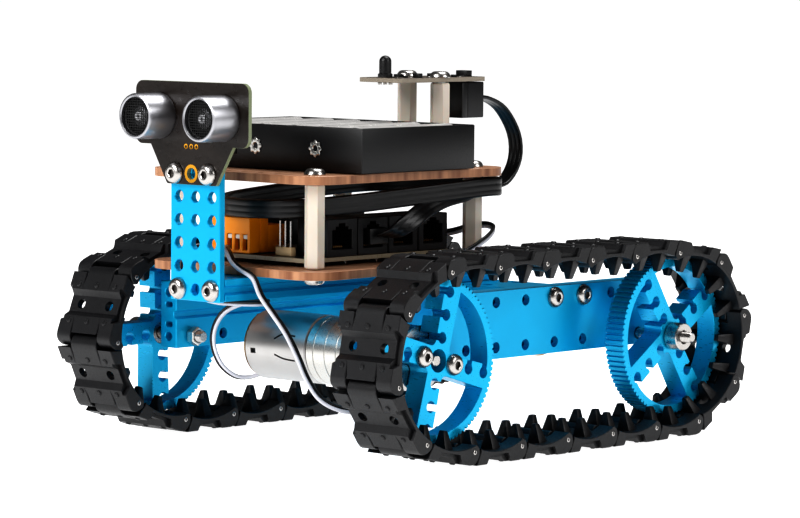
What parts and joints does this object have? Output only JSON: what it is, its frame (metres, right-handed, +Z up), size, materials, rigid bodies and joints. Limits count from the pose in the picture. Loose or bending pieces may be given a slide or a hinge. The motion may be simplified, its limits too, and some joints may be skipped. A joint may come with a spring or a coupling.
{
  "type": "tracked robot",
  "caption": "Small tracked robot on perforated blue beams, with toothed pulleys in link tracks, two acrylic decks, a battery tray and ultrasonic and infrared sensors.",
  "frame": {"origin": "centre of the model's footprint, on the ground under the tracks", "axes": "+Z up, -Y the front with the ultrasonic sensor, +X the robot's left side"},
  "size_m": [0.164, 0.224, 0.1386],
  "materials": {
    "blue_metal": "bright cyan-blue anodised, fine satin",
    "steel": "polished",
    "motor_metal": "satin zinc-plated",
    "sensor_metal": "satin turned",
    "track_plastic": "matte black moulded",
    "nylon": "cream, slightly translucent",
    "acrylic": "brown translucent, laser-cut edge",
    "black_plastic": "satin black moulded",
    "circuit_board": "black solder mask",
    "orange_plastic": "satin moulded",
    "cell_sleeve": "plain shrink sleeve",
    "cable_black": "satin PVC",
    "lead_twin": "twin lead, one core white and one black"
  },
  "bodies": {
    "chassis": {"base_deck": "acrylic", "battery_cell_1": "cell_sleeve", "battery_cell_2": "cell_sleeve", "battery_cell_3": "cell_sleeve", "battery_cell_4": "cell_sleeve", "battery_cell_5": "cell_sleeve", "battery_cell_6": "cell_sleeve", "battery_lead": "lead_twin", "battery_tray": "black_plastic", "cable_hoop": "cable_black", "centre_beam": "blue_metal", "control_board": "circuit_board", "cross_beam": "blue_metal", "front_left_standoff": "nylon", "front_right_standoff": "nylon", "ir_board": "circuit_board", "ir_cable": "cable_black", "ir_receiver": "black_plastic", "ir_socket": "black_plastic", "left_axle_collar": "steel", "left_axle_nut": "steel", "left_gearbox": "motor_metal", "left_idler_axle": "steel", "left_ir_standoff": "nylon", "left_motor": "motor_metal", "left_motor_bracket": "blue_metal", "left_motor_lead": "lead_twin", "left_side_beam": "blue_metal", "left_socket_row": "black_plastic", "left_track": "track_plastic", "left_ultrasonic_eye": "sensor_metal", "motor_terminal": "orange_plastic", "rear_left_standoff": "nylon", "rear_right_standoff": "nylon", "right_axle_collar": "steel", "right_axle_nut": "steel", "right_gearbox": "motor_metal", "right_idler_axle": "steel", "right_ir_standoff": "nylon", "right_motor": "motor_metal", "right_motor_bracket": "blue_metal", "right_motor_lead": "lead_twin", "right_side_beam": "blue_metal", "right_socket_row": "black_plastic", "right_track": "track_plastic", "right_ultrasonic_eye": "sensor_metal", "sensor_plate": "blue_metal", "socket_cable": "cable_black", "ultrasonic_board": "circuit_board", "ultrasonic_socket": "black_plastic", "upper_deck": "acrylic"},
    "left_drive": {"left_drive_pulley": "blue_metal", "left_drive_hub": "steel"},
    "left_idler": {"left_idler_pulley": "blue_metal", "left_idler_bearing": "steel"},
    "right_drive": {"right_drive_pulley": "blue_metal", "right_drive_hub": "steel"},
    "right_idler": {"right_idler_pulley": "blue_metal", "right_idler_bearing": "steel"},
    "switch": {"power_switch": "black_plastic"}
  },
  "joints": [
    {"name": "left_drive_spin", "type": "hinge", "parent": "chassis", "child": "left_drive", "pos_m": [0.06775, -0.05178, 0.0365], "axis": [1, 0, 0], "continuous": true},
    {"name": "left_idler_spin", "type": "hinge", "parent": "chassis", "child": "left_idler", "pos_m": [0.06775, 0.07623, 0.0365], "axis": [1, 0, 0], "continuous": true},
    {"name": "right_drive_spin", "type": "hinge", "parent": "chassis", "child": "right_drive", "pos_m": [-0.06775, 0.07623, 0.0365], "axis": [1, 0, 0], "continuous": true},
    {"name": "right_idler_spin", "type": "hinge", "parent": "chassis", "child": "right_idler", "pos_m": [-0.06775, -0.05178, 0.0365], "axis": [1, 0, 0], "continuous": true},
    {"name": "switch_slide", "type": "slide", "parent": "chassis", "child": "switch", "axis": [1, 0, 0], "range_m": [0, 0.002]}
  ],
  "couplings": [
    {"joint": "left_idler_spin", "follows": "left_drive_spin", "ratio": 1},
    {"joint": "right_idler_spin", "follows": "right_drive_spin", "ratio": 1}
  ]
}
